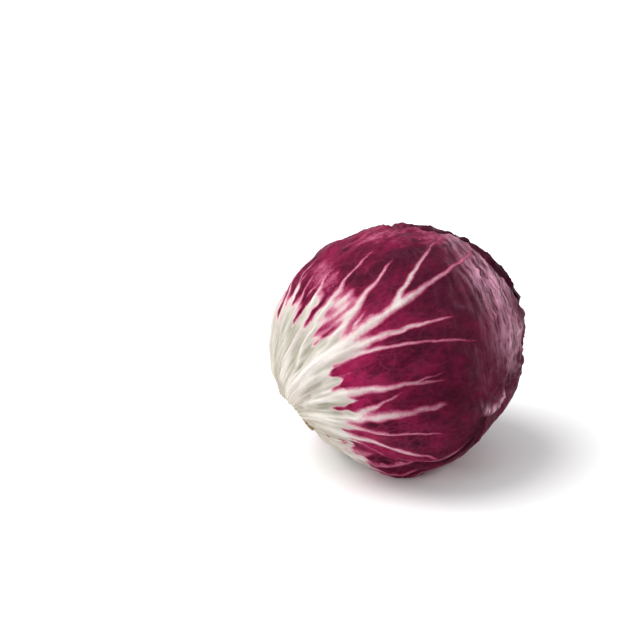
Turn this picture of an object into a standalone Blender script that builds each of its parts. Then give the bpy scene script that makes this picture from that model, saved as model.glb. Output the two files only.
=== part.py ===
"""A radicchio head of the round Chioggia kind, lying on its side, in metres with +Z up.

The head is a ball of overlapping leaves round a short conical core. Every leaf is a closed thin
shell that springs from the core, fans out and closes over the leaves beneath it. A place on the
head is a direction from the middle of the head, given by its polar angle from the stem and its
azimuth round the stem. The leaves are laid one by one from the heart outwards, each as low as
the ones beneath it and its own stiffness let it lie, and the finished stack is then pressed
into the shape of the head.
"""

import math

import bpy
import numpy as np
from mathutils import Vector
from mathutils.bvhtree import BVHTree
from mathutils.kdtree import KDTree

MM = 0.001
DEG = math.pi / 180

HEAD_RADIUS = 55 * MM
REST_HEIGHT = 51.0 * MM  # from the flat spot under the head to its middle
STEM_TILT = 30 * DEG  # the stem points this far below the horizontal
HEART_RADIUS = 9.0 * MM  # room inside the innermost leaf
CORE_ANGLE = 13 * DEG  # half angle of the cone that the leaves spring from
CORE_CLEARANCE = 0.45 * MM
CORE_TIP = 9.5 * MM  # distances of the core's two ends from the middle of the head
CORE_BUTT = 53.0 * MM
BUD_RADIUS = 6.3 * MM

BLADE = 0.7 * MM  # thickness of the red part of a leaf
NECK = 0.25  # share of the flesh and the midrib that is left at the core
NECK_LENGTH = 30 * DEG
FLESH = 1.0 * MM  # extra thickness of the white base
RIB = 2.0 * MM  # extra thickness of the midrib where it starts
OUTER_GAP = 0.7 * MM  # air between one leaf and the next
INNER_GAP = 1.25 * MM
CLOSE = 1.5 * DEG  # a face that is raised takes the grid points this near along with it
LEAST_GAP = 0.4 * MM  # the least that settling leaves between two of them
LEAST_BLADE = 0.35 * MM  # the least thickness of a leaf where it lies on the flat spot
STIFFNESS = 50 * MM  # fall of a leaf past a bump, over 1 minus the cosine of the angle past it
SMOOTHING = 20 * DEG  # spread of the average that gives the mean surface of the stack
SMOOTHING_POLAR = 45 * DEG  # the spread narrows towards the stem from this polar angle
PRESS_REACH = 6 * DEG  # the flat spot is pressed to the highest point this near
PLANE_CENTRE = 75 * DEG  # polar angle of the middle of every leaf's flat map

SAMPLES = 14000  # directions in which the level of the stack is kept
NEAREST = 4  # a leaf raises the level in this many directions round each that it covers
PASSES = 4
GOLDEN_ANGLE = 137.5
INNER_LEAVES = 16
REST_LEAF = "cover_leaf_under"

# Head axes: STEM points from the middle of the head to its cut end, UPPER is square to it in the
# upright plane through it, and FAR runs level.
STEM = np.array([-math.cos(STEM_TILT), 0.0, -math.sin(STEM_TILT)])
UPPER = np.array([-math.sin(STEM_TILT), 0.0, math.cos(STEM_TILT)])
FAR = np.array([0.0, 1.0, 0.0])


def direction(polar, azimuth):
    """Unit vector at a polar angle from the stem and an azimuth round it, both in radians."""
    polar, azimuth = np.broadcast_arrays(polar, azimuth)
    around = np.cos(azimuth)[..., None] * UPPER + np.sin(azimuth)[..., None] * FAR
    return np.cos(polar)[..., None] * STEM + np.sin(polar)[..., None] * around


def smoothstep(t):
    t = np.clip(t, 0.0, 1.0)
    return t * t * (3 - 2 * t)


class Leaf:
    """One leaf: where its midrib runs, how far it reaches and how wide it fans out."""

    def __init__(self, name, azimuth, reach, fan, body, gap, cells, slot):
        self.name = name
        self.reach = reach * DEG  # from the stem to the leaf's tip
        self.fan = fan * DEG  # half of the angle that it fans over
        self.body = body  # thickness of its flesh and midrib, as a share of the outermost's
        self.gap = gap
        self.cells = cells  # along the midrib, and across
        self.slot = slot
        azimuth = azimuth * DEG
        self.centre = direction(PLANE_CENTRE, azimuth)
        self.along = direction(PLANE_CENTRE + math.pi / 2, azimuth)
        self.across = np.cross(self.centre, self.along)

    def flat(self, way):
        """Distance and angle from the stem, on the leaf's flat map, of each direction.

        The map keeps true distances and bearings from the leaf's own middle, so it has no
        seam anywhere on the leaf, and the stem lies on it at minus PLANE_CENTRE.
        """
        off = np.arccos(np.clip(way @ self.centre, -1, 1))
        scale = off / np.maximum(np.sin(off), 1e-9)
        x = scale * (way @ self.along) + PLANE_CENTRE
        y = scale * (way @ self.across)
        return np.hypot(x, y), np.arctan2(y, x)

    def place(self, distance, angle):
        """The direction at a distance and angle from the stem on the flat map."""
        x = distance * np.cos(angle) - PLANE_CENTRE
        y = distance * np.sin(angle)
        off = np.hypot(x, y)
        scale = (np.sin(off) / np.maximum(off, 1e-9))[..., None]
        tangent = x[..., None] * self.along + y[..., None] * self.across
        return np.cos(off)[..., None] * self.centre + scale * tangent

    def start(self, angle):
        """Distance from the stem at which the leaf leaves the core, on the flat map."""
        squeeze = PLANE_CENTRE / math.sin(PLANE_CENTRE)
        return CORE_ANGLE * np.hypot(np.cos(angle), squeeze * np.sin(angle))

    def edge(self, angle):
        """Distance of the leaf's edge from the stem: a rounded fan with low shoulders."""
        turn = np.clip(np.abs(angle) / self.fan, 0, 1)
        shoulder = CORE_ANGLE * 2.5
        return shoulder + (self.reach - shoulder) * (1 - turn**2.3) ** 0.62

    def thickness(self, way):
        """Blade, plus the fleshy white base, plus a midrib that tapers to nothing.

        All of it thins towards the core, where every leaf of the head is squeezed together.
        """
        distance, angle = self.flat(way)
        neck = NECK + (1 - NECK) * smoothstep((distance - CORE_ANGLE) / NECK_LENGTH)
        run = np.clip((distance - CORE_ANGLE) / (self.reach * 0.8 - CORE_ANGLE), 0, 1)
        fall = np.maximum(np.cos(angle), 0)
        flesh = FLESH * smoothstep(1 - distance / (62 * DEG)) * fall
        width = (9 - 7 * run) * DEG
        offset = distance * np.sin(angle) / width
        rib = RIB * (1 - run) ** 1.2 * np.exp(-offset * offset)
        return BLADE + self.body * neck * (flesh + rib * (fall > 0))

    def grid(self):
        """Directions of the leaf's grid points, from the core to the edge and across."""
        rows, columns = self.cells
        across = np.linspace(-1, 1, columns + 1)
        across = np.sign(across) * np.abs(across) ** 1.15  # closer together at the midrib
        angle = across[None, :] * self.fan
        along = np.linspace(0, 1, rows + 1)[:, None]
        distance = self.start(angle) + along * (self.edge(angle) - self.start(angle))
        return self.place(distance, angle + 0 * distance)


def outer_leaves():
    """The eight leaves whose edges can be seen, from the deepest to the outermost."""
    coarse, fine = (13, 18), (17, 22)
    plan = [
        ("side_leaf_far", 98, 172, 84, coarse),
        ("side_leaf_near", -20, 176, 84, coarse),
        ("side_leaf_low", 158, 170, 84, coarse),
        ("cheek_leaf_near", -96, 164, 84, coarse),
        ("cover_leaf_top", 22, 184, 86, coarse),
        ("cover_leaf_far", 88, 160, 86, coarse),
        ("cover_leaf_under", -152, 150, 88, fine),
        ("cover_leaf_front", -47, 152, 90, fine),
    ]
    return [
        Leaf(name, azimuth, reach, fan, 1.0, OUTER_GAP, cells, "red_leaf")
        for name, azimuth, reach, fan, cells in plan
    ]


def inner_leaves():
    """The hidden leaves, from the heart outwards, each a golden angle round from the last."""
    leaves = []
    for number in range(INNER_LEAVES):
        share = number / (INNER_LEAVES - 1)
        leaves.append(
            Leaf(
                f"inner_leaf_{INNER_LEAVES - number:02d}",
                -47 - GOLDEN_ANGLE * (INNER_LEAVES - number),
                182 - 8 * share,
                92 - 6 * share,
                0.3 + 0.5 * share,
                INNER_GAP,
                (8, 10),
                "pale_leaf" if share < 0.3 else "red_leaf",
            )
        )
    return leaves


def spread(count):
    """Directions spread evenly over the sphere outside the core."""
    number = np.arange(count)
    along = math.cos(CORE_ANGLE) - (1 + math.cos(CORE_ANGLE)) * (number + 0.5) / count
    return direction(np.arccos(along), number * GOLDEN_ANGLE * DEG)


def neighbours(ways):
    """For each direction, the indices of the few nearest to it, itself among them."""
    tree = KDTree(len(ways))
    for i, way in enumerate(ways.tolist()):
        tree.insert(way, i)
    tree.balance()
    return np.array([[found[1] for found in tree.find_n(way, NEAREST)] for way in ways.tolist()])


def sheet_faces(rows, columns):
    """Triangles of a grid of points, facing outwards."""
    index = np.arange(rows * columns).reshape(rows, columns)
    a, b = index[:-1, :-1].ravel(), index[1:, :-1].ravel()
    c, d = index[1:, 1:].ravel(), index[:-1, 1:].ravel()
    return np.concatenate([np.stack([a, b, c], axis=1), np.stack([a, c, d], axis=1)])


def heights_of(sheet, faces, ways):
    """Distance from the middle at which each direction meets a sheet, and the face it meets.

    Directions that miss the sheet get a height of 0 and a face of -1.
    """
    tree = BVHTree.FromPolygons(sheet.reshape(-1, 3).tolist(), faces.tolist())
    centre = Vector((0, 0, 0))
    met = [tree.ray_cast(centre, Vector(way))[2:] for way in ways.tolist()]
    height = np.array([distance or 0.0 for face, distance in met])
    face = np.array([-1 if face is None else face for face, distance in met])
    return height, face


def settle(grid, low, ways, level):
    """Raise a leaf's grid points wherever one of its faces cuts too close to the level below."""
    flat = grid.reshape(-1, 3)
    faces = sheet_faces(*grid.shape[:2])
    low = np.maximum(low, level[(flat @ ways.T).argmax(axis=1)] + LEAST_GAP)
    for _ in range(PASSES):
        height, face = heights_of(flat * low[:, None], faces, ways)
        short = np.where(face >= 0, level + LEAST_GAP - height, 0)
        tight = short > 0
        beside = flat @ ways[tight].T > math.cos(CLOSE)
        raised = np.where(beside, short[tight], 0).max(axis=1, initial=0)
        for corner in range(3):
            np.maximum.at(raised, faces[face[tight], corner], short[tight])
        low = low + raised
    return low


def risen(grid, high, ways, near, level):
    """The level of the stack once a leaf with these outer heights is on it."""
    flat = grid.reshape(-1, 3)
    height, _ = heights_of(flat * high[:, None], sheet_faces(*grid.shape[:2]), ways)
    np.maximum.at(height, (flat @ ways.T).argmax(axis=1), high)
    return np.maximum(level, height[near].max(axis=1))


def head_surface(way):
    """Radius of the head: a ball, flattened and swollen a little at a few places."""
    radius = np.full(way.shape[:-1], 1.0)
    # polar angle, azimuth, share of the radius, half width
    swellings = [
        (40, -118, -0.13, 26),
        (48, 175, -0.045, 26),
        (38, 15, 0.05, 30),
        (8, 0, 0.02, 16),
        (128, -120, -0.045, 22),
        (90, 60, -0.03, 24),
        (120, 150, 0.02, 28),
    ]
    for polar, azimuth, share, width in swellings:
        middle = direction(polar * DEG, azimuth * DEG)
        off = np.arccos(np.clip(way @ middle, -1, 1)) / (width * DEG)
        radius = radius + share * np.exp(-off * off)
    return radius * HEAD_RADIUS


def average(way, ways, level, reach):
    """The level of the stack averaged over the neighbourhood of each direction."""
    weight = np.exp((way @ ways.T - 1) * 2 / reach[:, None] ** 2)
    return weight @ level / weight.sum(axis=1)


def pressing(way, ways, level):
    """Factor on every height that gives the stack the head's shape and its flat spot.

    Also tells which directions the flat spot takes in.
    """
    polar = np.arccos(np.clip(way @ STEM, -1, 1))
    reach = SMOOTHING * np.clip(polar / SMOOTHING_POLAR, 0.25, 1)
    factor = head_surface(way) / average(way, ways, level, reach)
    around = way @ ways.T > math.cos(PRESS_REACH)
    lowest = factor * np.where(around, level, 0).max(axis=1)
    limit = REST_HEIGHT / np.maximum(-way[:, 2], 1e-6)
    return factor * np.minimum(1, 0.99 * limit / lowest), head_surface(way) > limit


def shell(inner, outer):
    """Points and faces of a closed shell between two equal grids of points."""
    rows, columns = inner.shape[:2]
    below = rows * columns
    index = np.arange(below).reshape(rows, columns)
    top = sheet_faces(rows, columns)
    ring = np.concatenate([index[0, :-1], index[:-1, -1], index[-1, :0:-1], index[:0:-1, 0]])
    onward = np.roll(ring, -1)
    rim = [
        np.stack([ring, onward, onward + below], axis=1),
        np.stack([ring, onward + below, ring + below], axis=1),
    ]
    points = np.concatenate([outer.reshape(-1, 3), inner.reshape(-1, 3)])
    return points, np.concatenate([top, top[:, ::-1] + below, *rim]).tolist()


def head_leaves():
    """Each leaf's closed mesh and material.

    The leaves are laid from the heart outwards, each over every point of the level beneath it
    and bending no more tightly than its stiffness allows. The stack is then pressed into the
    shape of the head, and the leaves are settled again so that none cuts into another.
    """
    ways = spread(SAMPLES)
    near = neighbours(ways)
    leaves = inner_leaves() + outer_leaves()
    level = np.full(len(ways), HEART_RADIUS)
    laid = []
    for leaf in leaves:
        grid = leaf.grid()
        flat = grid.reshape(-1, 3)
        low = (level - STIFFNESS * (1 - flat @ ways.T)).max(axis=1) + leaf.gap
        low = settle(grid, low, ways, level)
        laid.append(low)
        level = risen(grid, low + leaf.thickness(flat), ways, near, level)

    middle = np.array([0.0, 0.0, REST_HEIGHT])
    whole = level
    level = np.full(len(ways), HEART_RADIUS)
    solids = {}
    for leaf, low in zip(leaves, laid):
        grid = leaf.grid()
        flat = grid.reshape(-1, 3)
        factor, resting = pressing(flat, ways, whole)
        limit = REST_HEIGHT / np.maximum(-flat[:, 2], 1e-6)
        low = np.minimum(settle(grid, low * factor, ways, level), limit - LEAST_BLADE)
        high = low + leaf.thickness(flat) * factor
        if leaf.name == REST_LEAF:
            high = np.where(resting, limit, high)
        high = np.minimum(high, limit)
        level = risen(grid, high, ways, near, level)
        inner = flat * low[:, None] + middle
        outer = flat * high[:, None] + middle
        points, faces = shell(inner.reshape(grid.shape), outer.reshape(grid.shape))
        solids[leaf.name] = (points, faces, leaf.slot)
    return solids


def turned(profile, segments):
    """Points and faces of a solid turned round the stem axis.

    The profile is distances along the stem axis and radii, whose ends are points on the axis.
    """
    turn = np.arange(segments) * 2 * math.pi / segments
    around = np.cos(turn)[:, None] * UPPER + np.sin(turn)[:, None] * FAR
    middle = np.array([0.0, 0.0, REST_HEIGHT])
    rings = [along * STEM + radius * around for along, radius in profile[1:-1]]
    ends = [profile[0][0] * STEM, profile[-1][0] * STEM]
    points = np.concatenate([*rings, ends]) + middle
    faces = []
    for ring in range(len(rings) - 1):
        for i in range(segments):
            j = (i + 1) % segments
            low, high = ring * segments, (ring + 1) * segments
            faces.append((low + i, low + j, high + j, high + i))
    first, last = len(rings) * segments, len(rings) * segments + 1
    top = (len(rings) - 1) * segments
    for i in range(segments):
        j = (i + 1) % segments
        faces.append((first, j, i))
        faces.append((last, top + i, top + j))
    return points, faces


def core_profile():
    """The conical core: a blunt tip in the heart, straight sides, and a slightly rounded butt."""
    slope = math.tan(CORE_ANGLE)

    def side(along):
        return along * slope - CORE_CLEARANCE / math.cos(CORE_ANGLE)

    rounding = 1.6 * MM
    bevel = rounding * 0.3
    return [
        (CORE_TIP, 0),
        (CORE_TIP, side(CORE_TIP) * 0.7),
        (CORE_TIP + 1 * MM, side(CORE_TIP + 1 * MM)),
        (CORE_TIP * 2, side(CORE_TIP * 2)),
        (CORE_BUTT * 0.66, side(CORE_BUTT * 0.66)),
        (CORE_BUTT - rounding, side(CORE_BUTT - rounding)),
        (CORE_BUTT - bevel, side(CORE_BUTT) - bevel * 2),
        (CORE_BUTT, side(CORE_BUTT) - rounding),
        (CORE_BUTT, 0),
    ]


def bud_profile(segments):
    """The heart bud: an egg whose blunt end sits on the core's tip."""
    turn = np.linspace(0, math.pi, segments + 1)
    return [
        (-BUD_RADIUS * 1.15 * math.cos(t), BUD_RADIUS * math.sin(t) * (1 + 0.12 * math.cos(t)))
        for t in turn
    ]


def material(name, colour, roughness):
    made = bpy.data.materials.new(name)
    made.use_nodes = True
    made.diffuse_color = (*colour, 1)
    shader = made.node_tree.nodes["Principled BSDF"]
    shader.inputs["Base Color"].default_value = (*colour, 1)
    shader.inputs["Roughness"].default_value = roughness
    shader.inputs["Metallic"].default_value = 0.0
    return made


def add(name, points, faces, finish):
    mesh = bpy.data.meshes.new(name)
    mesh.from_pydata(points.tolist(), [], faces)
    mesh.materials.append(finish)
    mesh.shade_smooth()
    mesh.set_sharp_from_angle(angle=60 * DEG)
    made = bpy.data.objects.new(name, mesh)
    bpy.context.scene.collection.objects.link(made)
    return made


def main():
    for old in list(bpy.data.objects):
        bpy.data.objects.remove(old)
    finishes = {
        "red_leaf": material("red_leaf", (0.18, 0.012, 0.05), 0.42),
        "pale_leaf": material("pale_leaf", (0.62, 0.25, 0.34), 0.45),
        "white_stem": material("white_stem", (0.78, 0.72, 0.58), 0.5),
    }
    solids = head_leaves()
    solids["stem_core"] = (*turned(core_profile(), 24), "white_stem")
    solids["heart_bud"] = (*turned(bud_profile(8), 16), "pale_leaf")
    everything = np.concatenate([points for points, _, _ in solids.values()])
    middle = (everything.min(axis=0) + everything.max(axis=0)) / 2
    middle[2] = 0  # the flat spot stays at z = 0
    for name, (points, faces, slot) in solids.items():
        add(name, points - middle, faces, finishes[slot])


main()
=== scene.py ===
import math

import bpy
import numpy as np
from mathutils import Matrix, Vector


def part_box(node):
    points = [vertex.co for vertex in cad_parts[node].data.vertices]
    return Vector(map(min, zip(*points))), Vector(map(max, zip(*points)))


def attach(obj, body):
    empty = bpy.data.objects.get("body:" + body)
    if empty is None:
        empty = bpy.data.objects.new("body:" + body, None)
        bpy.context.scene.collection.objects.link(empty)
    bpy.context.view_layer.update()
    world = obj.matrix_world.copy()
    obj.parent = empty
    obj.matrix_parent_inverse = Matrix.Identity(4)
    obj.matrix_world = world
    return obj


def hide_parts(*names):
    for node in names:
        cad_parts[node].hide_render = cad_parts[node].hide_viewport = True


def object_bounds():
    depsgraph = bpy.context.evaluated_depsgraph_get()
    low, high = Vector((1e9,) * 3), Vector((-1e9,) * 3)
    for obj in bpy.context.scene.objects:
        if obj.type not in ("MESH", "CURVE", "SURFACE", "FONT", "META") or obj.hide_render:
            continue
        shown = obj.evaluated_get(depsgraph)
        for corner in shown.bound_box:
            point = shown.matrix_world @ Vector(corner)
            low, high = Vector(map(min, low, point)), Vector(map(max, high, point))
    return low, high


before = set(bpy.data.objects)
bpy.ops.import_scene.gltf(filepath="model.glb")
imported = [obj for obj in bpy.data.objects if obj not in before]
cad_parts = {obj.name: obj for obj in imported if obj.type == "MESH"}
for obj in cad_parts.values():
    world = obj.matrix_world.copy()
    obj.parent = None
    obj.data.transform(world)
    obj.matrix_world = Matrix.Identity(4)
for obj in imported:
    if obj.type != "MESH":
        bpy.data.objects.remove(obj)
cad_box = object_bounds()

MM = 0.001
DEG = math.pi / 180

# ---------------------------------------------------------------------------------------------
# The stem: the head's white core, which every leaf springs from. The head lies on its side, so
# the stem points down to -X. The grower's knife cut it square at the butt, where the face has
# browned, dried and cracked a little.

STEM_TILT = 30 * DEG  # the stem points this far below the horizontal
CORE_ANGLE = 13 * DEG  # half angle of the cone that the leaves spring from
CORE_GAP = 0.45 * MM  # between that cone and the core inside it
BUTT = 53.0 * MM  # distances of the core's two ends from the middle of the head
TIP = 9.5 * MM
bud_low, bud_high = (np.array(corner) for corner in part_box("heart_bud"))
MIDDLE = (bud_low + bud_high) / 2  # the heart bud sits round the middle of the head

# unit vectors from the middle of the head: to the butt, upwards square to it, and away
STEM = np.array([-math.cos(STEM_TILT), 0.0, -math.sin(STEM_TILT)])
UPPER = np.array([-math.sin(STEM_TILT), 0.0, math.cos(STEM_TILT)])
FAR = np.array([0.0, 1.0, 0.0])


def smoothstep(t):
    """0 below 0, 1 above 1 and 3t squared minus 2t cubed between."""
    t = np.clip(t, 0.0, 1.0)
    return t * t * (3 - 2 * t)


def sheet_faces(index):
    """Triangles of a grid of point numbers, facing outwards."""
    a, b = index[:-1, :-1].ravel(), index[1:, :-1].ravel()
    c, d = index[1:, 1:].ravel(), index[:-1, 1:].ravel()
    return np.concatenate([np.stack([a, b, c], axis=1), np.stack([a, c, d], axis=1)])


def placed(name, data):
    """A new object in the scene that shows a mesh, a lamp or a camera."""
    piece = bpy.data.objects.new(name, data)
    bpy.context.scene.collection.objects.link(piece)
    return piece


def store(mesh, masks):
    """Keeps each mask as an attribute of the mesh, one number to a point."""
    for name, mask in masks.items():
        attribute = mesh.attributes.new(name, "FLOAT", "POINT")
        attribute.data.foreach_set("value", mask.astype(np.float32))


def stem_piece():
    """The closed mesh of the core: a profile turned round the stem's axis.

    The profile starts at a blunt tip, runs along a cone to the butt, turns over a small round
    edge and crosses the cut face, which is dished, with a raised ring and cracks that run
    outwards. Five shallow waves flute its sides near the butt.
    """
    cone = math.tan(CORE_ANGLE)
    widest = BUTT * cone - CORE_GAP / math.cos(CORE_ANGLE)
    rounding = 0.8 * MM
    dish_depth = 0.9 * MM
    down = np.linspace(0, 1, 40)[:, None]
    side = TIP + down * (BUTT - rounding - TIP)
    turn = np.linspace(0, math.pi / 2, 8)[1:, None]
    face = np.linspace(1, 0, 40)[1:-1, None]
    corner = widest - rounding
    along = np.concatenate([side, BUTT - rounding * (1 - np.sin(turn)), BUTT + 0 * face])
    radius = np.concatenate(
        [
            side * cone - CORE_GAP / math.cos(CORE_ANGLE),
            corner + rounding * np.cos(turn),
            corner * face,
        ]
    )
    radius = np.minimum(radius, (along - TIP + 0.4 * MM) * 1.5)
    angle = np.linspace(0, 2 * math.pi, 128, endpoint=False)[None, :]
    out = radius / widest
    on_face = smoothstep((along - BUTT + rounding) / rounding) * (out < 1)
    spokes = np.abs(np.sin(angle * 6.5 + 2 * np.sin(angle * 2) + 6 * out))
    cracks = np.exp(-((spokes / 0.12) ** 2)) * smoothstep((out - 0.15) / 0.3)
    ring = np.exp(-(((out - 0.66 - 0.04 * np.sin(angle * 3 + 1)) / 0.09) ** 2))
    raised = 0.35 * MM * ring * (0.7 + 0.3 * np.sin(angle * 31))
    along = along - (dish_depth * (1 - out**2) - raised + 0.3 * MM * cracks) * on_face
    fluted = 0.02 * (1 + np.sin(angle * 5 + 1)) * smoothstep((along - 30 * MM) / (20 * MM))
    radius = radius * (1 - fluted)
    round_way = np.cos(angle)[..., None] * UPPER + np.sin(angle)[..., None] * FAR
    points = MIDDLE + along[..., None] * STEM + radius[..., None] * round_way
    ends = MIDDLE + np.stack([TIP * STEM, (BUTT - dish_depth) * STEM])
    index = np.arange(along.size).reshape(along.shape)
    index = np.concatenate([index, index[:, :1]], axis=1)
    tip, centre = along.size, along.size + 1
    first, last = index[0], index[-1]
    fans = [
        np.stack([first[:-1], first[1:], np.full(first.size - 1, tip)], axis=1),
        np.stack([last[1:], last[:-1], np.full(last.size - 1, centre)], axis=1),
    ]
    faces = np.concatenate([sheet_faces(index)[:, ::-1], *[fan[:, ::-1] for fan in fans]])
    mesh = bpy.data.meshes.new("cut_stem")
    mesh.from_pydata(np.concatenate([points.reshape(-1, 3), ends]), [], faces)
    masks = {"out": out + 0 * angle, "crack": cracks * on_face + 0 * angle}
    store(mesh, {name: np.append(mask, [0.0, 0.0]) for name, mask in masks.items()})
    mesh.shade_smooth()
    return placed("cut_stem", mesh)


def new_material(name):
    """A material with its node tree and its shader."""
    material = bpy.data.materials.new(name)
    material.use_nodes = True
    return material, material.node_tree, material.node_tree.nodes["Principled BSDF"]


def put(tree, kind, settings=None, **inputs):
    """A node in a tree, with its settings, and its inputs set to numbers or linked."""
    node = tree.nodes.new("ShaderNode" + kind)
    for name, value in (settings or {}).items():
        setattr(node, name, value)
    for name, value in inputs.items():
        socket = node.inputs[int(name[1:]) if name[1:].isdigit() else name.replace("_", " ")]
        if isinstance(value, bpy.types.NodeSocket):
            tree.links.new(value, socket)
        else:
            socket.default_value = value
    return node


def ramp(tree, value, *stops):
    """A colour ramp over a value, from stops of a position and a colour."""
    node = put(tree, "ValToRGB", Fac=value)
    points = node.color_ramp.elements
    for _ in stops[2:]:
        points.new(1.0)
    for point, (position, colour) in zip(points, stops):
        point.position = position
        point.color = colour
    return node.outputs["Color"]


def blended(tree, share, below, above):
    """One colour over another by a share."""
    node = put(tree, "Mix", {"data_type": "RGBA"}, Factor=share)
    for name, colour in (("A", below), ("B", above)):
        socket = [each for each in node.inputs if each.name == name and each.type == "RGBA"][0]
        if isinstance(colour, bpy.types.NodeSocket):
            tree.links.new(colour, socket)
        else:
            socket.default_value = colour
    return [each for each in node.outputs if each.type == "RGBA"][0]


def sum_of(tree, value, factor, extra):
    """A value times a factor, plus another."""
    settings = {"operation": "MULTIPLY_ADD"}
    return put(tree, "Math", settings, _0=value, _1=factor, _2=extra).outputs[0]


def spanned(tree, value, low, high, start=0.0, end=1.0):
    """A value's way from low to high, turned into a number between start and end."""
    settings = {"From_Min": low, "From_Max": high, "To_Min": start, "To_Max": end}
    return put(tree, "MapRange", Value=value, **settings).outputs["Result"]


cut_face, tree, shader = new_material("cut_stem_face")
place = put(tree, "TexCoord").outputs["Object"]
grain = put(tree, "TexNoise", Vector=place, Scale=700, Detail=5, Roughness=0.65).outputs["Fac"]
stain = put(tree, "TexNoise", Vector=place, Scale=160, Detail=3).outputs["Fac"]
out = put(tree, "Attribute", {"attribute_name": "out"}).outputs["Fac"]
crack = put(tree, "Attribute", {"attribute_name": "crack"}).outputs["Fac"]
face = ramp(
    tree,
    sum_of(tree, stain, 0.16, sum_of(tree, out, 1.0, -0.08)),
    (0.10, (0.50, 0.36, 0.20, 1)),
    (0.50, (0.58, 0.45, 0.29, 1)),
    (0.64, (0.27, 0.13, 0.055, 1)),
    (0.76, (0.52, 0.38, 0.22, 1)),
    (0.95, (0.38, 0.25, 0.14, 1)),
)
face = blended(tree, spanned(tree, grain, 0.42, 0.75, 0.0, 0.5), face, (0.70, 0.60, 0.45, 1))
face = blended(tree, sum_of(tree, crack, 0.85, 0.0), face, (0.06, 0.03, 0.018, 1))
tree.links.new(face, shader.inputs["Base Color"])
tree.links.new(spanned(tree, grain, 0.3, 0.7, 0.6, 0.85), shader.inputs["Roughness"])
bump = put(tree, "Bump", Strength=0.7, Distance=0.2 * MM, Height=grain)
tree.links.new(bump.outputs["Normal"], shader.inputs["Normal"])
shader.inputs["Specular IOR Level"].default_value = 0.2

stem = stem_piece()
stem.data.materials.append(cut_face)
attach(stem, "root")
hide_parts("stem_core")

# ---------------------------------------------------------------------------------------------
# The heart: the bud, and the thirteen leaves packed tightest round it. They keep the shapes
# they have, and get the skin that every leaf has: red at the tips, white at the bases, and
# yellowish at the heart.

RED_LEAVES = range(4, 12)  # numbers of the inner leaves that are red at their tips
PALE_LEAVES = range(12, 17)  # and of the paler ones, next to the bud


def sockets(group, in_out, **kinds):
    """Adds named sockets to a node group."""
    for name, kind in kinds.items():
        group.interface.new_socket(name, in_out=in_out, socket_type="NodeSocket" + kind)


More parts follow.
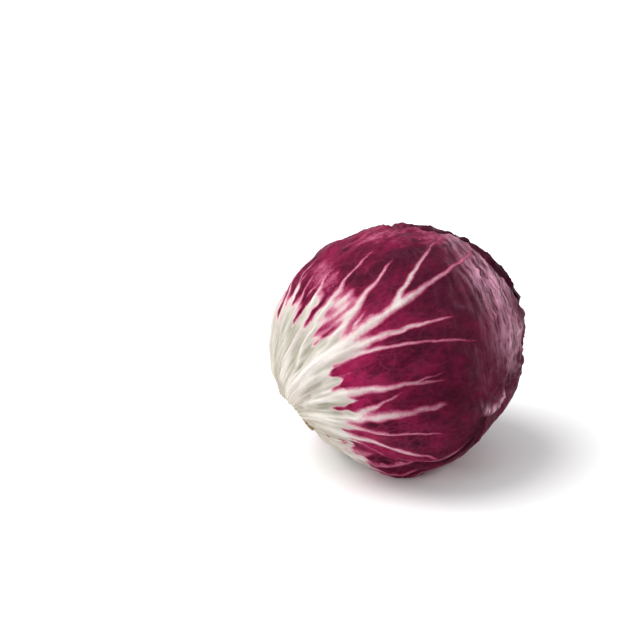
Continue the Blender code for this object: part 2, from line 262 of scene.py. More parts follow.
def leaf_skin_group():
    """The skin of a leaf: cream and pink where it is pale, mottled maroon elsewhere.

    Veinlets run through the maroon in a fine network that is drawn out along the ribs, and pale
    mauve lies on it in streaks: partly a waxy film, partly painted sheen. The base is browned
    where the knife met it and the rim of a curled margin is pinker. Painted shade darkens the
    valleys between the ribs, the base near the stem, the red towards the tips in part, and the
    whole skin under a blotch.
    """
    group = bpy.data.node_groups.new("leaf_skin", "ShaderNodeTree")
    sockets(
        group,
        "INPUT",
        Place="Vector",
        Pale="Float",
        Network="Float",
        Bloom="Float",
        Ridge="Float",
        Distance="Float",
        Rim="Float",
        Stain="Float",
    )
    sockets(group, "OUTPUT", Colour="Color", Roughness="Float", Gloss="Float", Height="Float")
    taken = group.nodes.new("NodeGroupInput").outputs
    given = group.nodes.new("NodeGroupOutput").inputs
    place = taken["Place"]

    drawn_out = put(group, "Mapping", Vector=place, Scale=(0.5, 1.0, 1.0)).outputs[0]
    mottle = put(group, "TexNoise", Vector=drawn_out, Scale=170, Detail=5, Roughness=0.7)
    mottle = mottle.outputs["Fac"]
    patches = put(group, "TexNoise", Vector=drawn_out, Scale=38, Detail=3, Roughness=0.6)
    patches = patches.outputs["Fac"]
    bent = put(group, "TexNoise", Vector=place, Scale=260, Detail=2).outputs["Color"]
    bend = put(group, "VectorMath", {"operation": "SCALE"}, Vector=bent, Scale=0.0016).outputs[0]
    bend = put(group, "VectorMath", _0=drawn_out, _1=bend).outputs[0]
    edges = {"feature": "DISTANCE_TO_EDGE"}
    fine = put(group, "TexVoronoi", edges, Vector=bend, Scale=620).outputs["Distance"]
    fine = spanned(group, fine, 0.0, 0.2, 1.0, 0.0)
    coarse = put(group, "TexVoronoi", edges, Vector=bend, Scale=210).outputs["Distance"]
    coarse = spanned(group, coarse, 0.0, 0.09, 1.0, 0.0)

    tone = sum_of(group, patches, 1.2, sum_of(group, mottle, 1.0, -0.6))
    red = ramp(
        group,
        tone,
        (0.34, (0.036, 0.002, 0.009, 1)),
        (0.50, (0.105, 0.004, 0.022, 1)),
        (0.68, (0.25, 0.008, 0.054, 1)),
    )
    lines = sum_of(group, coarse, 0.09, sum_of(group, fine, 0.05, 0.0))
    lines = sum_of(group, taken["Network"], 0.22, lines)
    red = blended(group, lines, red, (0.50, 0.08, 0.20, 1))
    # the red deepens and dulls towards the tips: partly the leaf's own colour, partly painted
    # shade
    tip_darkening = spanned(group, taken["Distance"], 0.35, 0.78, 0.0, 0.78)
    red = blended(group, tip_darkening, red, (0.066, 0.010, 0.024, 1))
    # pale mauve streaks: partly a waxy film, partly painted sheen
    crossways = put(group, "Mapping", Vector=place, Scale=(1.0, 0.2, 1.0)).outputs[0]
    streaks = put(group, "TexNoise", Vector=crossways, Scale=430, Detail=4, Roughness=0.65)
    streaks = spanned(group, streaks.outputs["Fac"], 0.40, 0.58, 0.0, 1.0)
    bloom = sum_of(group, taken["Bloom"], streaks, 0.0)
    red = blended(group, bloom, red, (0.70, 0.33, 0.47, 1))

    # painted shade: darker, greyer green in the valleys between the ribs
    valley_shade = spanned(group, sum_of(group, mottle, 0.5, taken["Ridge"]), 0.0, 1.6)
    flesh = blended(group, valley_shade, (0.31, 0.295, 0.235, 1), (0.65, 0.61, 0.565, 1))
    # painted shade near the stem, in a warmer beige
    shade_near_stem = spanned(group, taken["Distance"], 0.10, 0.25, 0.65, 0.0)
    flesh = blended(group, shade_near_stem, flesh, (0.57, 0.52, 0.435, 1))
    blush = spanned(group, patches, 0.48, 0.72, 0.0, 0.45)
    flesh = blended(group, blush, flesh, (0.60, 0.48, 0.47, 1))
    ragged = sum_of(group, mottle, 0.5, sum_of(group, taken["Pale"], 1.0, -0.25))
    ragged = sum_of(group, fine, -0.06, ragged)
    fringe = ramp(
        group,
        ragged,
        (0.20, (0.21, 0.006, 0.044, 1)),
        (0.36, (0.33, 0.07, 0.135, 1)),
        (0.47, (0.43, 0.14, 0.21, 1)),
        (0.60, (0.54, 0.33, 0.365, 1)),
        (0.80, (0.61, 0.54, 0.515, 1)),
    )
    skin = blended(group, spanned(group, ragged, 0.12, 0.34), red, fringe)
    skin = blended(group, spanned(group, ragged, 0.62, 0.86), skin, flesh)
    cut = spanned(group, sum_of(group, mottle, 0.025, taken["Distance"]), 0.070, 0.080, 1.0, 0.0)
    skin = blended(group, cut, skin, (0.52, 0.40, 0.26, 1))
    rim = sum_of(group, taken["Rim"], spanned(group, patches, 0.4, 0.7), 0.0)
    skin = blended(group, rim, skin, (0.55, 0.24, 0.31, 1))
    # painted shade: the blotch mask darkens the skin to near black
    dark = sum_of(group, taken["Stain"], spanned(group, mottle, 0.3, 0.55, 0.8, 1.0), 0.0)
    skin = blended(group, dark, skin, (0.030, 0.0015, 0.008, 1))
    group.links.new(skin, given["Colour"])
    group.links.new(spanned(group, taken["Bloom"], 0.0, 0.6, 0.0, 0.4), given["Gloss"])
    group.links.new(spanned(group, mottle, 0.3, 0.7, 0.34, 0.5), given["Roughness"])
    relief = sum_of(group, coarse, 1.2, sum_of(group, mottle, 1.0, fine))
    group.links.new(relief, given["Height"])
    return group


def inner_skin(name, red_from, red_to, heart):
    """A leaf's skin that turns from white to red over a stretch of the way from stem to tip.

    The way is the angle from the stem, as a share of a half turn. The skin is yellowed by a
    share, so that the leaves at the heart are paler.
    """
    material, tree, shader = new_material(name)
    place = put(tree, "TexCoord").outputs["Object"]
    way = put(tree, "VectorMath", {"operation": "SUBTRACT"}, _0=place, _1=tuple(MIDDLE)).outputs[0]
    way = put(tree, "VectorMath", {"operation": "NORMALIZE"}, _0=way).outputs[0]
    slant = put(tree, "VectorMath", {"operation": "DOT_PRODUCT"}, _0=way, _1=tuple(STEM))
    distance = put(tree, "Math", {"operation": "ARCCOSINE"}, _0=slant.outputs["Value"]).outputs[0]
    distance = sum_of(tree, distance, 1 / math.pi, 0.0)
    skin = tree.nodes.new("ShaderNodeGroup")
    skin.node_tree = leaf_skin
    tree.links.new(place, skin.inputs["Place"])
    tree.links.new(distance, skin.inputs["Distance"])
    tree.links.new(spanned(tree, distance, red_from, red_to, 1.0, 0.0), skin.inputs["Pale"])
    skin.inputs["Network"].default_value = 0.5
    skin.inputs["Ridge"].default_value = 0.6
    yellowed = blended(tree, heart, skin.outputs["Colour"], (0.78, 0.66, 0.36, 1))
    tree.links.new(yellowed, shader.inputs["Base Color"])
    tree.links.new(skin.outputs["Roughness"], shader.inputs["Roughness"])
    bump = put(tree, "Bump", Strength=0.6, Distance=0.1 * MM, Height=skin.outputs["Height"])
    tree.links.new(bump.outputs["Normal"], shader.inputs["Normal"])
    shader.inputs["Specular IOR Level"].default_value = 0.1
    return material


leaf_skin = leaf_skin_group()
red_inside = inner_skin("inner_leaf_skin", 0.25, 0.6, 0.0)
pale_inside = inner_skin("heart_leaf_skin", 0.5, 1.1, 0.45)
heart = {f"inner_leaf_{number:02d}": red_inside for number in RED_LEAVES}
heart |= {f"inner_leaf_{number:02d}": pale_inside for number in PALE_LEAVES}
heart["heart_bud"] = pale_inside
for name, material in heart.items():
    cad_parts[name].material_slots[0].material = material

# ---------------------------------------------------------------------------------------------
# The outer leaves: eleven thin red blades on thick white bases, each with a midrib and ribs
# that fan out from the stem. Each springs from the core and closes over those beneath it, and
# together they make a ball that rests on a small flat spot.

HEAD_RADIUS = 55 * MM
OVERLAP = 0.9 * MM  # how far one leaf lies under the next
MAP_CENTRE = 75 * DEG  # polar angle of the middle of every leaf's flat map
BLADE = 0.42 * MM  # thickness of a leaf near its tip, and what its white base has beyond that
BASE_FLESH = 0.15 * MM
INNER_STEP = 5  # the inner face of a leaf has a grid this many times coarser


def direction(polar, azimuth):
    """Unit vector at a polar angle from the stem and an azimuth round it, in radians."""
    polar, azimuth = np.broadcast_arrays(polar, azimuth)
    around = np.cos(azimuth)[..., None] * UPPER + np.sin(azimuth)[..., None] * FAR
    return np.cos(polar)[..., None] * STEM + np.sin(polar)[..., None] * around


def rest_limit(way):
    """Distance from the middle at which each direction meets the surface under the head."""
    return MIDDLE[2] / np.maximum(-way[..., 2], 1e-6)


def head_radius(way):
    """Radius of the head: a ball with a few broad bell-shaped swellings and hollows.

    It runs into the surface under the head with a smooth minimum, which makes the flat spot:
    the smaller of the two, less up to a quarter of the blend where they are nearly equal.
    """
    # polar angle, azimuth, share of the radius, half width
    swellings = [
        (40, -118, -0.13, 26),
        (48, 175, -0.045, 26),
        (38, 15, 0.05, 30),
        (50, 14, 0.035, 9),
        (8, 0, 0.02, 16),
        (130, -135, -0.08, 24),
        (112, -160, -0.045, 20),
        (171, 176, 0.045, 11),
        (156, 28, 0.035, 16),
        (55, -152, 0.075, 16),
        (90, 60, -0.03, 24),
        (120, 150, 0.02, 28),
    ]
    radius = np.ones(way.shape[:-1])
    for polar, azimuth, share, width in swellings:
        middle = direction(polar * DEG, azimuth * DEG)
        off = np.arccos(np.clip(way @ middle, -1, 1)) / (width * DEG)
        radius = radius + share * np.exp(-off * off)
    radius = radius * HEAD_RADIUS
    limit = rest_limit(way)
    blend = 1.2 * MM
    share = np.clip(1 - np.abs(limit - radius) / blend, 0, 1)
    return np.minimum(radius, limit) - blend * share**2 / 4


class Leaf:
    """One leaf on its own flat map, which keeps distances and bearings from its middle.

    On the map the stem is the origin and the midrib runs along x. Distances are angles seen
    from the middle of the head.
    """

    def __init__(
        self,
        name,
        azimuth,
        reach,
        fans,
        cells,
        seed,
        notches=(),
        curls=(),
        puffs=(),
        sheens=(),
        shade_patches=(),
        painted_highlights=(),
        folds=(),
        base=56,
    ):
        self.name = name
        self.reach = reach * DEG
        self.fans = [fan * DEG for fan in fans]  # how far it fans out to either side
        self.cells = cells  # along the midrib, and across
        self.seed = seed
        self.notches = notches  # bearing, depth and half width in degrees
        self.curls = curls  # bearing in degrees, lift in mm, and half width in degrees
        self.puffs = puffs  # distance and bearing, rise in mm, and half width in degrees
        # distance and bearing, half length and half width in degrees, and strength, of patches of
        # painted sheen
        self.sheens = sheens
        self.shade_patches = shade_patches  # the same for patches of painted shade
        self.painted_highlights = painted_highlights  # the same for patches of painted highlight, a brighter red
        self.folds = folds  # the same without a strength, for the lower halves of ovals
        self.base = base  # distance in degrees at which its white base ends
        azimuth = azimuth * DEG
        self.centre = direction(MAP_CENTRE, azimuth)
        self.along = direction(MAP_CENTRE + math.pi / 2, azimuth)
        self.across = np.cross(self.centre, self.along)
        self.phases = np.random.default_rng(seed).uniform(0, 2 * math.pi, 12)

    def flat(self, way):
        """The place on the map of each direction: its angle from the middle, turned its way."""
        off = np.arccos(np.clip(way @ self.centre, -1, 1))
        scale = off / np.maximum(np.sin(off), 1e-9)
        return scale * (way @ self.along) + MAP_CENTRE, scale * (way @ self.across)

    def place(self, x, y):
        """The direction of each place on the map, which undoes what flat does."""
        x = x - MAP_CENTRE
        off = np.hypot(x, y)
        scale = (np.sin(off) / np.maximum(off, 1e-9))[..., None]
        tangent = x[..., None] * self.along + y[..., None] * self.across
        return np.cos(off)[..., None] * self.centre + scale * tangent

    def start(self, bearing):
        """Distance from the stem at which the leaf leaves the core: an oval on the map."""
        squeeze = MAP_CENTRE / math.sin(MAP_CENTRE)
        return CORE_ANGLE * np.hypot(np.cos(bearing), squeeze * np.sin(bearing))

    def side(self, bearing):
        """The angle that the leaf fans out to on the side of each bearing."""
        return np.where(bearing < 0, self.fans[0], self.fans[1])

    def edge(self, bearing):
        """Distance of the margin from the stem: a rounded fan with a few waves and scallops.

        The fan is a power of one less another power of the share of the way to the side. The
        waves are sines of the bearing, and a scallop is a bell round its own bearing.
        """
        turn = np.clip(np.abs(bearing) / self.side(bearing), 0, 1)
        shoulder = CORE_ANGLE * 2.5
        shares = (0.014, 0.011, 0.009, 0.007, 0.004)
        wave = sum(
            share * np.sin(count * bearing + phase)
            for share, count, phase in zip(shares, (5, 9, 17, 31, 53), self.phases)
        )
        edge = shoulder + (self.reach * (1 + wave) - shoulder) * (1 - turn**2.3) ** 0.62
        for middle, depth, width in self.notches:
            off = (bearing / DEG - middle) / width
            edge = edge - depth * DEG * np.exp(-np.abs(off) ** 3)
        return edge

    def bearings(self, count):
        """Bearings from one side to the other, closer together at both ends."""
        share = np.linspace(-1, 1, count + 1)
        share = 0.6 * share + 0.4 * np.sin(share * math.pi / 2)
        return share * self.side(share)

    def margin(self):
        """Directions of points along the rounded end and down the two sides of the leaf."""
        bearing = self.bearings(900)
        distance = self.edge(bearing)
        for fan in (-self.fans[0], self.fans[1]):
            fan = np.full(60, fan)
            run = np.linspace(0, 1, 60)
            bearing = np.concatenate([bearing, fan])
            reach = self.start(fan) + run * (self.edge(fan) - self.start(fan))
            distance = np.concatenate([distance, reach])
        return self.place(distance * np.cos(bearing), distance * np.sin(bearing))

    def outside(self, way):
        """How far outside the margin each direction lies, as an angle, negative inside."""
        x, y = self.flat(way)
        distance, bearing = np.hypot(x, y), np.arctan2(y, x)
        within = (np.abs(bearing) < self.side(bearing)) & (distance < self.edge(bearing))
        margin = self.margin().T.astype(np.float32)
        ways = way.reshape(-1, 3).astype(np.float32)
        near = np.concatenate([(part @ margin).max(axis=1) for part in np.array_split(ways, 12)])
        off = np.arccos(np.clip(near, -1, 1)).reshape(distance.shape)
        return np.where(within, -off, off)


def ripple(place, length, seed):
    """Smooth random relief between about -1 and 1: sine waves of about one length in metres,
    running in random directions, added up."""
    draw = np.random.default_rng(seed)
    count = 22
    course = draw.normal(size=(3, count))
    course /= np.linalg.norm(course, axis=0)
    course *= 2 * math.pi / (length * draw.uniform(0.7, 1.5, count))
    phase = draw.uniform(0, 2 * math.pi, count)
    return np.sin(place @ course + phase).sum(axis=-1) / math.sqrt(count)


def cells(x, y, seed):
    """Distances to the nearest and second nearest of points scattered one to a unit square.

    What follows the decimal point in a large multiple of a sine places each in its square.
    """
    column, row = np.floor(x), np.floor(y)
    first = np.full(x.shape, 9.0)
    second = first.copy()
    for across in (-1, 0, 1):
        for up in (-1, 0, 1):
            a, b = column + across, row + up
            mixed = np.sin(a * 127.1 + b * 311.7 + seed) * 43758.5453
            other = np.sin(a * 269.5 + b * 183.3 + seed) * 43758.5453
            far = np.hypot(a + mixed % 1 - x, b + other % 1 - y)
            second = np.minimum(second, np.maximum(first, far))
            first = np.minimum(first, far)
    return first, second


def branches(ribs, seed):
    """Side veins that leave each rib to the left and right in turn.

    Each keeps a steady slant to the line from the stem, so its bearing drifts with the
    logarithm of its distance.
    """
    draw = np.random.default_rng(seed)
    veins = []
    for s0, b0, s1, b1, bend, *_ in ribs:
        side = draw.choice([-1, 1])
        at = max(s0 + 14, 54) + draw.uniform(0, 8)
        while at < s1 - 12:
            bearing = b0 + (b1 - b0) * ((at - s0) / (s1 - s0)) ** bend
            length = draw.uniform(9, 20)
            slant = math.tan(draw.uniform(18, 36) * DEG)
            drift = side * slant * math.log((at + length) / at) / DEG
            thin = draw.uniform(0.5, 0.75)
            veins.append((at, bearing, at + length, bearing + drift, 0.7, thin, 0.45, 0.3, 0.0))
            side = -side
            at += draw.uniform(9, 17)
    return veins


def rib_marks(ribs, distance, bearing, uneven):
    """Height of the ribs in metres, and how pale they leave the blade, from 0 to 1.

    A rib is a ray from the stem whose bearing drifts from one value to another with a power
    of the way along it. Its section is a bell that tapers. The pale border beside it is wide
    near the stem, where neighbouring ones merge, and closes up to the rib further out.
    """
    height = np.zeros(distance.shape)
    red = np.ones(distance.shape)
    for s0, b0, s1, b1, bend, w0, w1, rise, strength in ribs:
        t = (distance / DEG - s0) / (s1 - s0)
        near = (t > -0.05) & (t < 1.12)
        s, t = distance[near], t[near]
        t = np.clip(t, 0, 1)
        course = (b0 + (b1 - b0) * t**bend) * DEG
        drift = (b1 - b0) * bend * np.maximum(t, 0.02) ** (bend - 1) / (s1 - s0)
        aside = s * np.sin(bearing[near] - course) / np.hypot(1, drift * s) * HEAD_RADIUS
        waver = uneven[near]
        aside = np.abs(aside + 0.35 * MM * waver)
        end = 1 - smoothstep((s / DEG - s1) / 15 + 1)
        end = end * smoothstep((s / DEG - s0) / 8)
        wide = (w1 + (w0 - w1) * (1 - t) ** 1.2) * MM
        bell = 1.25 * rise * MM * (1 - 0.75 * t) * np.exp(-((aside / wide) ** 2)) * end
        height[near] = np.maximum(height[near], bell)
        merging = 1 - smoothstep((s / DEG - 40) / 50)
        border = wide * 1.15 + 1.6 * MM * strength * merging * (1 + 0.3 * waver)
        share = strength * end * (1 - 0.5 * t)
        red[near] *= 1 - share * np.exp(-((aside / border) ** 2.1))
    return height, 1 - red


FRONT_RIBS = [
    # distance and bearing where it starts and ends, in degrees, how late it drifts, half
    # widths and height in mm, and how pale it is
    (13, -2, 164, 11, 3.4, 5.0, 0.6, 1.9, 1.0),
    (98, 0, 148, 17, 1.0, 1.7, 0.45, 0.9, 0.9),
    (50, -2.5, 132, -8, 0.8, 2.6, 0.5, 1.2, 0.95),
    (62, -4, 143, -15.5, 0.8, 1.3, 0.5, 0.7, 0.75),
    (20, -17, 119, -22.5, 1.2, 3.4, 0.5, 1.3, 0.95),
    (62, -29, 98, -21, 1.0, 1.4, 0.45, 0.6, 0.75),
    (92, -20.5, 124, -19.5, 1.0, 0.6, 0.35, 0.4, 0.6),
    (15, -34, 118, -28, 1.0, 4.0, 1.7, 1.7, 0.95),
    (20, -37, 116, -39, 1.2, 2.2, 0.5, 1.0, 0.8),
    (20, -45, 112, -50, 1.0, 3.4, 1.5, 1.2, 0.9),
    (20, -44, 88, -62, 1.0, 2.0, 0.8, 0.8, 0.6),
    (50, -2.5, 121, 14.5, 1.0, 2.7, 0.5, 1.2, 0.95),
    (76, 0, 98, 5.5, 1.0, 0.7, 0.35, 0.4, 0.6),
    (40, 6.5, 118, 20, 0.75, 1.8, 0.5, 1.1, 0.9),
    (22, 14, 97, 26, 1.2, 3.0, 0.6, 1.1, 0.95),
    (20, 24, 92, 31, 1.2, 1.6, 0.5, 0.6, 0.8),
    (30, 30, 99, 38, 1.0, 1.4, 0.5, 0.5, 0.8),
    (44, 35, 92, 33, 1.0, 0.8, 0.4, 0.4, 0.7),
    (18, 38, 108, 43, 1.2, 1.7, 0.5, 0.7, 0.8),
    (36, 44, 96, 47, 1.2, 1.2, 0.5, 0.5, 0.8),
    (46, 49, 90, 45, 1.0, 0.8, 0.4, 0.4, 0.7),
    (18, 53, 92, 50, 1.0, 2.6, 0.6, 0.8, 0.9),
    (20, 62, 84, 58, 1.0, 1.2, 0.4, 0.6, 0.6),
    (20, 72, 80, 68, 1.0, 1.4, 0.4, 0.7, 0.6),
]


def plain_ribs(leaf):
    """A midrib and seven to eleven ribs on either side of it, at bearings that grow unevenly."""
    draw = np.random.default_rng(leaf.seed)
    reach = leaf.reach / DEG
    ribs = [(13, 0, reach * 0.96, draw.uniform(-5, 5), 2.5, 4.2, 0.5, 1.5, 1.0)]
    for side, fan in zip((-1, 1), leaf.fans):
        bearing = draw.uniform(6, 9)
        while bearing < fan / DEG - 6:
            shorter = 1 - 0.45 * (bearing / 90) ** 1.5
            start = draw.uniform(17, 30) + 26 * math.exp(-bearing / 12)
            end = reach * shorter * draw.uniform(0.72, 0.9)
            spread = side * (bearing + draw.uniform(1, 7))
            wide = draw.uniform(1.1, 2.4)
            late = draw.uniform(0.8, 1.6)
            pale = leaf.base / 62
            ribs.append((start, side * bearing, end, spread, late, wide, 0.4, 0.9, pale))
            bearing += draw.uniform(6, 11)
    return ribs


leaves = [
    # name, azimuth, reach and how far it fans out either side, all in degrees, cells, seed
    Leaf("inner_leaf_03", -99, 186, (84, 84), (75, 150), 8),
    Leaf("inner_leaf_02", 38, 188, (84, 84), (75, 150), 9),
    Leaf("inner_leaf_01", 176, 186, (84, 84), (75, 150), 10),
    Leaf("side_leaf_far", 98, 176, (84, 84), (120, 260), 11),
    Leaf("side_leaf_near", -20, 176, (84, 84), (120, 260), 12),
    Leaf("side_leaf_low", 158, 174, (84, 84), (120, 260), 13),
    Leaf("cheek_leaf_near", -96, 168, (84, 84), (120, 260), 14),
    Leaf(
        "cover_leaf_top",
        22,
        184,
        (86, 86),
        (150, 320),
        15,
        notches=((-24, 9, 5), (4, -7, 4)),
        shade_patches=((172, -1, 30, 8, 1.0),),
        painted_highlights=((122, -8, 18, 6, 0.38),),
    ),
    Leaf(
        "cover_leaf_far",
        88,
        160,
        (86, 86),
        (150, 340),
        16,
        curls=((-40, 0.25, 16),),
        shade_patches=((163, -16, 18, 20, 1.0),),
    ),
    Leaf(
        "cover_leaf_under",
        -172,
        150,
        (78, 100),
        (150, 340),
        17,
        curls=((60, 1.5, 10),),
        puffs=((62, 13, 1.2, 9), (84, 20, 1.0, 8)),
        shade_patches=((106, 23, 16, 7, 1.0), (92, 25, 6, 6, 1.0), (74, 38, 5, 4, 1.0)),
        base=34,
    ),
    Leaf(
        "cover_leaf_front",
        -47,
        152,
        (66, 90),
        (195, 450),
        18,
        notches=(
            (26, 13, 8),
            (6, -12, 12),
            (-16, -26, 15),
            (-31, -15, 9),
            (-56, 9, 1.8),
            (-60, 8, 1.6),
        ),
        curls=((-9, 1.4, 2.5), (-36, 0.4, 5), (-50, 2.0, 4)),
        puffs=((78, 40, 1.7, 12), (101, 40, 1.8, 8), (122, 30, 1.0, 9)),
        sheens=((156, -1, 14, 11, 1.15), (162, -14, 18, 9, 0.8), (150, 14, 9, 9, 0.5)),
        shade_patches=(
            (130, -42, 12, 6, 1.0),
            (112, -27, 26, 14, 0.4),
            (122, 2, 16, 10, 0.25),
            (177, -4, 6, 9, 1.0),
        ),
        painted_highlights=(
            (84, 26, 13, 14, 0.38),
            (112, 27, 22, 9, 0.37),
            (127, 21, 12, 8, 0.37),
            (138, 17, 14, 8, 0.37),
        ),
        folds=((141, -29.5, 13, 7),),
    ),
]


def ring_of(index):
    """Point numbers round the border of a grid."""
    return np.concatenate([index[0, :-1], index[:-1, -1], index[-1, :0:-1], index[:0:-1, 0]])


def shell_faces(fine, coarse, step):
    """Triangles of a closed shell: a fine grid outside, a coarse one inside, and the rim.

    Along the rim each coarse edge meets as many fine edges as the step says. The first half
    of them are joined to its first point, and the rest to its second.
    """
    outer, inner = ring_of(fine), ring_of(coarse)
    onward = np.roll(inner, -1)
    turn = step // 2 + 1
    rim = []
    for part in range(step):
        here = outer[part::step]
        after = np.roll(outer, -1)[part::step]
        rim.append(np.stack([here, after, inner if part < turn else onward], axis=1))
        if part == turn:
            rim.append(np.stack([here, onward, inner], axis=1))
    return np.concatenate([sheet_faces(fine), sheet_faces(coarse)[:, ::-1], *rim])


def lumps(way):
    """The unevenness that all the leaves of the head share, in metres: broad and finer."""
    place = way * HEAD_RADIUS
    return (0.55 * ripple(place, 34 * MM, 3) + 0.28 * ripple(place, 13 * MM, 4)) * MM


def spotted(spots, distance, turn):
    """The strength of the strongest of some soft oval spots at each place of a leaf's map."""
    strongest = np.zeros(distance.shape)
    for far, middle, along, across, strength in spots:
        off = np.hypot((distance / DEG - far) / along, (turn - middle) / across)
        strongest = np.maximum(strongest, strength * np.exp(-(off**2.4)))
    return strongest


def leaf_marks(leaf, x, y, way):
    """The leaf's own relief in metres, and the masks that colour it."""
    distance, bearing = np.hypot(x, y), np.arctan2(y, x)
    place = way * HEAD_RADIUS
    ribs = FRONT_RIBS if leaf.name == "cover_leaf_front" else plain_ribs(leaf)
    uneven = ripple(place, 7 * MM, leaf.seed + 2)
    ribs = ribs + branches(ribs, leaf.seed + 50)
    height, pale = rib_marks(ribs, distance, bearing, uneven)

    # the white base: it ends in fingers between the ribs, and in long streaks on one side
    fingers = 3.5 * np.sin(bearing * 41 + leaf.phases[6])
    fingers = fingers + 3 * np.sin(bearing * 67 + leaf.phases[7])
    turn = bearing / DEG
    aside = np.abs(turn)
    shorter = 12 * smoothstep((aside - 22) / 24) + 8 * smoothstep((aside - 55) / 20)
    rays = ripple(np.stack([x * 0.15, bearing * 0.9, 0 * x], -1), 0.05, leaf.seed)
    streaky = 3 + 6 * smoothstep(turn / 15)
    base = leaf.base + fingers + 3 * uneven + streaky * np.minimum(rays, 0.6) - shorter
    fading = 11 + 14 * smoothstep((turn - 2) / 6)
    whiteness = 1 - smoothstep((distance / DEG - base) / fading)
    blushed = np.exp(-(((turn - 10) / 7) ** 2)) * (1 - smoothstep((distance / DEG - 80) / 18))
    whiteness = np.maximum(whiteness, blushed * np.clip(0.61 + 0.3 * rays, 0.2, 0.85))
    pale = 1 - (1 - pale) * (1 - whiteness)
    # painted highlight: brighter red where light from above and the left grazes the leaf near the
    # top of the head
    painted_highlight = spotted(leaf.painted_highlights, distance, turn) * np.clip(0.85 + 0.2 * rays, 0.6, 1.0)
    pale = np.maximum(pale, painted_highlight)

    # the blade swells outwards between its finest veins, more so towards the tip
    between_veins = 4.0 * MM
    scale = HEAD_RADIUS / between_veins
    warp = 0.25 * np.sin(y * scale * 1.3 + leaf.phases[8]) + 0.2 * np.sin(x * scale * 0.9)
    first, second = cells(x * scale * 0.7 + warp, y * scale + warp, leaf.seed)
    network = np.exp(-(((second - first) / 0.18) ** 2))
    blade = 1 - smoothstep((pale - 0.25) / 0.5)
    tip = smoothstep((distance - 70 * DEG) / (70 * DEG))
    swell = (0.3 + 0.35 * tip) * MM * blade * (1 - np.minimum(first, 1) ** 2)

    # creases: sharp where the leaf bends over the apex, and there they run along the margin
    stretched = np.stack([x, y * 0.38, 0 * x], axis=-1) * HEAD_RADIUS
    ridge = np.clip(1 - 1.3 * np.abs(ripple(stretched, 9 * MM, leaf.seed + 5)), 0, 1)
    soft = np.clip(1 - np.abs(ripple(place, 12 * MM, leaf.seed + 6)), 0, 1)
    fold = smoothstep((distance - 112 * DEG) / (28 * DEG))
    crumple = (1.1 * fold * ridge**1.5 + 0.3 * soft**2) * MM
    height = height + swell + crumple * blade + 0.45 * MM * rays * (1 - blade)

    # puffs are broad swellings of the blade; a sheen is a soft patch of painted sheen and a shade
    # patch a soft patch of painted shade; a fold is a step with a painted highlight on its crest
    # and a painted shadow in front of it
    for far, middle, rise, width in leaf.puffs:
        off = np.hypot(distance / DEG - far, (turn - middle) * math.sin(far * DEG)) / width
        height = height + rise * MM * np.exp(-(off**2.6))
    # painted sheen: pale mauve patches, and streaks on the crumpled ridges near the tips
    bloom = spotted(leaf.sheens, distance, turn) * (0.6 + 0.4 * ridge)
    bloom = np.maximum(0.10 * fold * ridge**2, bloom)
    # painted shade: darker patches under margins and folds and where the leaf turns from the light
    stain = spotted(leaf.shade_patches, distance, turn)
    highlit_crest = np.zeros(x.shape)
    for far, middle, along, across in leaf.folds:
        run = np.clip((distance / DEG - far) / along, -1, 1)
        line = middle - across * np.sqrt(1 - run**2)
        above = (turn - line) * DEG * np.sin(distance) * HEAD_RADIUS / MM
        ends = smoothstep((1 - np.abs(run)) / 0.25)
        step = smoothstep(above / 1.6 + 0.5) * np.exp(-((np.maximum(above, 0) / 6) ** 2))
        height = height + 1.8 * MM * ends * step
        # painted highlight along the crest of the fold
        highlit_crest = highlit_crest + ends * np.exp(-(((above - 1.2) / 1.1) ** 2))
        # painted shadow in front of the fold's step
        stain = stain + 0.9 * ends * np.exp(-(((above + 1.8) / 1.8) ** 2))
    outwards = smoothstep((aside - 24) / 16)
    masks = {
        "pale": pale,
        "network": network * blade * (0.15 + 0.5 * outwards) * (1 - 0.75 * tip),
        "bloom": np.maximum(bloom * blade, 0.8 * highlit_crest),
        "stain": np.clip(stain, 0, 1),
    }
    return height, masks


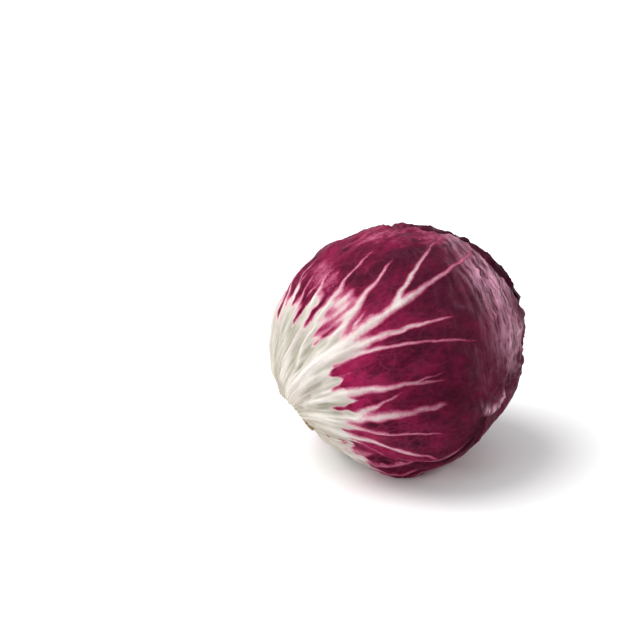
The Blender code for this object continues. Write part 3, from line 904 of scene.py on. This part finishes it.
def leaf_piece(order):
    """The closed mesh of one leaf.

    Its outer face follows the head's surface, less one overlap for each leaf above it, which
    starts a little outside that leaf's margin. Its own relief fades where it is covered.
    """
    leaf = leaves[order]
    rows, columns = leaf.cells
    bearing = leaf.bearings(columns)[None, :]
    along = np.linspace(0, 1, rows + 1)[:, None]
    distance = leaf.start(bearing) + along * (leaf.edge(bearing) - leaf.start(bearing))
    x, y = distance * np.cos(bearing), distance * np.sin(bearing)
    bearing = bearing + 0 * distance
    way = leaf.place(x, y)
    height, masks = leaf_marks(leaf, x, y, way)

    shown = np.ones(x.shape)
    under = np.zeros(x.shape)
    for cover in leaves[order + 1 :]:
        outside = cover.outside(way)
        shown = shown * smoothstep(outside / (3 * DEG))
        under = under + OVERLAP * (1 - smoothstep((outside - 0.8 * DEG) / (5 * DEG)))

    # the margin is frilled and stands a little off the leaf beneath
    inside = -leaf.outside(way)
    frill = 0.5 + 0.5 * ripple(way * HEAD_RADIUS, 15 * MM, leaf.seed + 9)
    lift = (0.45 * np.clip(frill, 0, 1) - 0.15) * MM
    curled = np.zeros(x.shape)
    for middle, rise, width in leaf.curls:
        curled = curled + rise * np.exp(-(((bearing / DEG - middle) / width) ** 2))
    lift = lift + curled * MM
    rim = smoothstep(1 - inside / (7 * DEG)) * smoothstep((distance - 30 * DEG) / (20 * DEG))
    height = np.maximum(height, -0.25 * MM) * smoothstep(inside / (2.5 * DEG))

    # the inner face is smooth, so that the coarser grid stays beneath the relief
    sheet = head_radius(way) + lumps(way) - under + lift * rim**2 * shown
    sheet = np.minimum(sheet, rest_limit(way))
    radius = np.minimum(sheet + height * shown, rest_limit(way))
    flesh = 1 - smoothstep((distance - 25 * DEG) / (50 * DEG))
    thickness = BLADE + BASE_FLESH * flesh
    outer = way * radius[..., None] + MIDDLE
    inner = (way * (sheet - thickness)[..., None] + MIDDLE)[::INNER_STEP, ::INNER_STEP]

    fine = np.arange(x.size).reshape(x.shape)
    coarse = x.size + np.arange(inner[..., 0].size).reshape(inner.shape[:2])
    mesh = bpy.data.meshes.new(leaf.name + "_sheet")
    points = np.concatenate([outer.reshape(-1, 3), inner.reshape(-1, 3)])
    faces = shell_faces(fine, coarse, INNER_STEP)
    mesh.from_pydata(points, [], faces)

    def on_points(values):
        """The values on the outer grid, and then again on the inner grid."""
        return np.concatenate([values.ravel(), values[::INNER_STEP, ::INNER_STEP].ravel()])

    masks["rim"] = smoothstep(1 - inside / (2.2 * DEG)) * np.clip(curled, 0.03, 1)
    masks["ridge"] = height / MM
    masks["distance"] = distance / math.pi
    store(mesh, {name: on_points(mask) for name, mask in masks.items()})
    spread = np.stack([on_points(distance), on_points(bearing * 1.3)], axis=1) * HEAD_RADIUS
    layer = mesh.uv_layers.new(name="along_and_across")
    layer.data.foreach_set("uv", spread[faces.ravel()].ravel().astype(np.float32))
    mesh.shade_smooth()
    mesh.set_sharp_from_angle(angle=60 * DEG)
    return placed(leaf.name + "_sheet", mesh)


outer_leaf, tree, shader = new_material("radicchio_leaf")
masks = {
    name: put(tree, "Attribute", {"attribute_name": name.lower()}).outputs["Fac"]
    for name in ("Pale", "Network", "Bloom", "Ridge", "Distance", "Rim", "Stain")
}
skin = tree.nodes.new("ShaderNodeGroup")
skin.node_tree = leaf_skin
for name, mask in masks.items():
    tree.links.new(mask, skin.inputs[name])
tree.links.new(put(tree, "UVMap", {"uv_map": "along_and_across"}).outputs[0], skin.inputs["Place"])
bump = put(tree, "Bump", Strength=0.6, Distance=0.1 * MM, Height=skin.outputs["Height"])
tree.links.new(bump.outputs["Normal"], shader.inputs["Normal"])
tree.links.new(skin.outputs["Colour"], shader.inputs["Base Color"])
tree.links.new(skin.outputs["Roughness"], shader.inputs["Roughness"])
tree.links.new(skin.outputs["Gloss"], shader.inputs["Coat Weight"])
shader.inputs["Specular IOR Level"].default_value = 0.01
shader.inputs["Coat Roughness"].default_value = 0.25

for order, leaf in enumerate(leaves):
    piece = leaf_piece(order)
    piece.data.materials.append(outer_leaf)
    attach(piece, "root")
    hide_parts(leaf.name)

# ---------------------------------------------------------------------------------------------
# The studio: a wide sheet of pale paper under an even sky. The key light is large and soft and
# stands to the left, with weaker lamps in front of the base and behind the right-hand side.

FLOOR = 3.0  # half width of the paper
CAMERA_AZIMUTH = -7 * DEG
CAMERA_HEIGHT = 23 * DEG
CAMERA_DISTANCE = 1.19
AIM_LEFT = 0.0359  # the camera is aimed this far to the left of the middle, and above it
AIM_ABOVE = 0.0122

floor_mesh = bpy.data.meshes.new("floor")
corners = [(-FLOOR, -FLOOR, 0), (FLOOR, -FLOOR, 0), (FLOOR, FLOOR, 0), (-FLOOR, FLOOR, 0)]
floor_mesh.from_pydata(corners, [], [(0, 1, 2, 3)])
floor = placed("floor", floor_mesh)
paper, tree, shader = new_material("white_paper")
shader.inputs["Base Color"].default_value = (0.90, 0.90, 0.90, 1)
shader.inputs["Roughness"].default_value = 0.8
floor_mesh.materials.append(paper)

world = bpy.data.worlds.new("studio")
world.use_nodes = True
sky = world.node_tree
facing = put(sky, "TexCoord").outputs["Generated"]
facing = put(sky, "VectorMath", {"operation": "DOT_PRODUCT"}, _0=facing, _1=(-0.1, 0.3, 0.8))
bright = spanned(sky, facing.outputs["Value"], -0.2, 0.6, 0.36, 0.76)
sky.links.new(bright, sky.nodes["Background"].inputs["Strength"])
sky.nodes["Background"].inputs["Color"].default_value = (1, 1, 1, 1)
bpy.context.scene.world = world
bpy.context.scene.view_settings.view_transform = "Standard"


def lamp(name, kind, place, **settings):
    """Adds a lamp at a place, with its settings, turned to the middle of the head."""
    light = bpy.data.lights.new(name, kind)
    for setting, value in settings.items():
        setattr(light, setting, value)
    stand = placed(name, light)
    stand.location = place
    stand.rotation_euler = (Vector(MIDDLE) - Vector(place)).to_track_quat("-Z", "Y").to_euler()


lamp("key_light", "SUN", (-0.92, 0.1, 1.8), energy=2.3, angle=40 * DEG)
lamp("fill_light", "AREA", (-1.15, -0.75, 0.6), energy=6.0, size=0.8)
lamp("window_light", "AREA", (-1.08, 0.22, 1.05), energy=2.2, size=0.32)
long_side = {"shape": "RECTANGLE", "size": 0.35, "size_y": 0.9}
lamp("side_light", "AREA", (1.45, 0.1, 0.62), energy=4.0, **long_side)

sight = Vector(
    (
        -math.sin(CAMERA_AZIMUTH) * math.cos(CAMERA_HEIGHT),
        math.cos(CAMERA_AZIMUTH) * math.cos(CAMERA_HEIGHT),
        -math.sin(CAMERA_HEIGHT),
    )
)
right = Vector((math.cos(CAMERA_AZIMUTH), math.sin(CAMERA_AZIMUTH), 0))
above = right.cross(sight)
lens = bpy.data.cameras.new("camera")
lens.lens = 150
camera = placed("camera", lens)
box_middle = Vector((np.array(cad_box[0]) + np.array(cad_box[1])) / 2)
target = box_middle - right * AIM_LEFT + above * AIM_ABOVE
camera.location = target - sight * CAMERA_DISTANCE
camera.rotation_euler = sight.to_track_quat("-Z", "Y").to_euler()
bpy.context.scene.camera = camera
